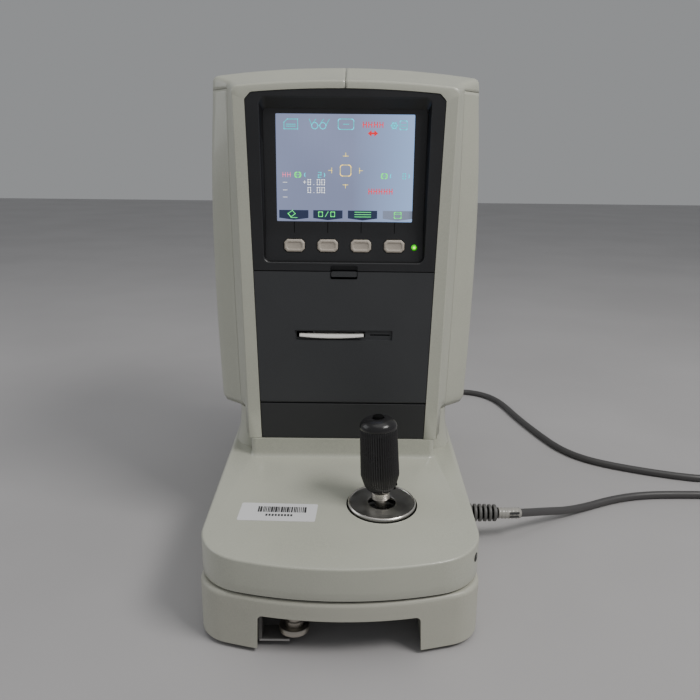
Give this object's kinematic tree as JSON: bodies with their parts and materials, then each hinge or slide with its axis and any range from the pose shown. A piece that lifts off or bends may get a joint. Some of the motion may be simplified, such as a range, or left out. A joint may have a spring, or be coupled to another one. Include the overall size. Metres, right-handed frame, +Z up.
{
  "type": "auto refractor keratometer",
  "caption": "Table-top eye-measuring instrument: measuring head with screen, keys and printer on a joystick-driven sliding stage over a fixed base with chin and forehead rest, and a mains lead.",
  "frame": {"origin": "middle of the base's footprint, on the table, without the mains lead", "axes": "+Z up, -Y towards the operator's side with screen and joystick, +Y towards the patient's side, +X to the operator's right"},
  "size_m": [0.6232, 0.6208, 0.434],
  "materials": {
    "ivory_shell": "fine spark texture, semi-matt",
    "ivory_base": "fine spark texture, semi-matt",
    "charcoal_panel": "fine texture, matt",
    "black_plastic": "semi-gloss",
    "grip_black": "satin, fluted",
    "beige_key": "satin",
    "brushed_ring": "turned, brushed",
    "steel": "ground",
    "chrome": "polished",
    "sheet_metal": "zinc grey, matt",
    "rubber": "matt",
    "cord_grey": "soft pvc sheath",
    "board": "lacquered",
    "lcd": "backlit screen",
    "window": "coated glass",
    "lamp": "lit green lens",
    "paper": "thermal paper",
    "pad_grey": "soft silicone"
  },
  "bodies": {
    "base": {"base_housing": "ivory_base", "base_plate": "sheet_metal", "lock_bracket": "black_plastic", "rubber_foot_1": "rubber", "rubber_foot_2": "rubber", "rubber_foot_3": "rubber", "rubber_foot_4": "rubber", "rack_left": "steel", "rack_right": "steel", "chinrest_arm_left": "ivory_shell", "chinrest_arm_right": "ivory_shell", "chin_crossbar": "ivory_shell", "forehead_bar": "ivory_shell", "forehead_pad": "pad_grey", "strain_relief": "cord_grey", "cord_run": "cord_grey", "cord_coil": "cord_grey", "power_plug": "black_plastic"},
    "chin_rest": {"chin_cup": "ivory_shell"},
    "lock_screw": {"lock_knob": "chrome"},
    "mains_switch": {"power_switch": "black_plastic"},
    "carriage": {"cross_slide": "sheet_metal"},
    "axle": {"cross_axle": "steel"},
    "stage": {"stage_cover": "ivory_shell", "stage_plate": "sheet_metal", "inner_column": "charcoal_panel", "guide_rod_left": "chrome", "guide_rod_right": "chrome", "lift_motor": "black_plastic", "joystick_ring": "brushed_ring", "joystick_socket": "sheet_metal"},
    "screw": {"lead_screw": "steel"},
    "gimbal": {"gimbal_ring": "black_plastic"},
    "stick": {"joystick_shaft": "chrome"},
    "grip": {"joystick_grip": "grip_black"},
    "trigger": {"joystick_button": "grip_black"},
    "head": {"head_shell_left": "ivory_shell", "side_panel_left": "ivory_shell", "head_shell_right": "ivory_shell", "side_panel_right": "ivory_shell", "rear_cover": "ivory_shell", "window_ring": "black_plastic", "window_glass": "window", "display_bezel": "charcoal_panel", "lcd_screen": "lcd", "power_lamp": "lamp", "main_board": "board", "lower_panel": "charcoal_panel", "printer_bay": "black_plastic", "head_chassis": "sheet_metal", "optics_barrel": "black_plastic"},
    "key_1": {"soft_key_1": "beige_key"},
    "key_2": {"soft_key_2": "beige_key"},
    "key_3": {"soft_key_3": "beige_key"},
    "key_4": {"soft_key_4": "beige_key"},
    "paper_door": {"printer_cover": "charcoal_panel", "paper_slip": "paper"},
    "door_latch": {"cover_latch": "charcoal_panel"},
    "roll": {"paper_roll": "paper"}
  },
  "joints": [
    {"name": "chin_height", "type": "slide", "parent": "base", "child": "chin_rest", "axis": [0, 0, 1], "range_m": [-0.02, 0.02]},
    {"name": "lock_turn", "type": "hinge", "parent": "base", "child": "lock_screw", "pos_m": [-0.034, -0.203, 0.011], "axis": [0, 0, 1], "range_deg": [0, 540]},
    {"name": "switch_rock", "type": "hinge", "parent": "base", "child": "mains_switch", "pos_m": [-0.104, 0.162, 0.027], "axis": [0, 1, 0], "range_deg": [-5, 5]},
    {"name": "stage_y", "type": "slide", "parent": "base", "child": "carriage", "axis": [0, 1, 0], "range_m": [-0.02, 0.02]},
    {"name": "axle_roll", "type": "hinge", "parent": "carriage", "child": "axle", "pos_m": [0, -0.045, 0.0466], "axis": [1, 0, 0], "range_deg": [-195, 195]},
    {"name": "stage_x", "type": "slide", "parent": "carriage", "child": "stage", "axis": [1, 0, 0], "range_m": [-0.04, 0.04]},
    {"name": "head_lift", "type": "slide", "parent": "stage", "child": "head", "axis": [0, 0, 1], "range_m": [0, 0.03]},
    {"name": "screw_turn", "type": "hinge", "parent": "stage", "child": "screw", "pos_m": [0, 0.06, 0.1], "axis": [0, 0, 1], "range_deg": [-5, 1085]},
    {"name": "stick_sideways", "type": "hinge", "parent": "stage", "child": "gimbal", "pos_m": [0.0336, -0.137, 0.068], "axis": [0, 1, 0], "range_deg": [-4, 9.5]},
    {"name": "stick_fore_aft", "type": "hinge", "parent": "gimbal", "child": "stick", "pos_m": [0.0336, -0.137, 0.068], "axis": [0.9987, 0, 0.0506], "range_deg": [-7, 7]},
    {"name": "grip_twist", "type": "hinge", "parent": "stick", "child": "grip", "pos_m": [0.0336, -0.137, 0.068], "axis": [-0.0506, 0, 0.9987], "range_deg": [-545, 5]},
    {"name": "trigger_press", "type": "slide", "parent": "grip", "child": "trigger", "axis": [0.0506, 0, -0.9987], "range_m": [0, 0.0015], "stiffness_N_per_m": 400},
    {"name": "key_1_press", "type": "slide", "parent": "head", "child": "key_1", "axis": [0, 1, 0], "range_m": [0, 0.0015], "stiffness_N_per_m": 400},
    {"name": "key_2_press", "type": "slide", "parent": "head", "child": "key_2", "axis": [0, 1, 0], "range_m": [0, 0.0015], "stiffness_N_per_m": 400},
    {"name": "key_3_press", "type": "slide", "parent": "head", "child": "key_3", "axis": [0, 1, 0], "range_m": [0, 0.0015], "stiffness_N_per_m": 400},
    {"name": "key_4_press", "type": "slide", "parent": "head", "child": "key_4", "axis": [0, 1, 0], "range_m": [0, 0.0015], "stiffness_N_per_m": 400},
    {"name": "door_swing", "type": "hinge", "parent": "head", "child": "paper_door", "pos_m": [0, -0.05, 0.1414], "axis": [1, 0, 0], "range_deg": [0, 55]},
    {"name": "latch_press", "type": "slide", "parent": "paper_door", "child": "door_latch", "axis": [0, 0, -1], "range_m": [0, 0.0015], "stiffness_N_per_m": 400},
    {"name": "roll_spin", "type": "hinge", "parent": "head", "child": "roll", "pos_m": [0, -0.009, 0.194], "axis": [1, 0, 0], "continuous": true}
  ],
  "couplings": [
    {"joint": "axle_roll", "follows": "stage_y", "rad_per_m": -166.67},
    {"joint": "screw_turn", "follows": "head_lift", "rad_per_m": 628.32},
    {"joint": "grip_twist", "follows": "head_lift", "rad_per_m": -314.16}
  ]
}
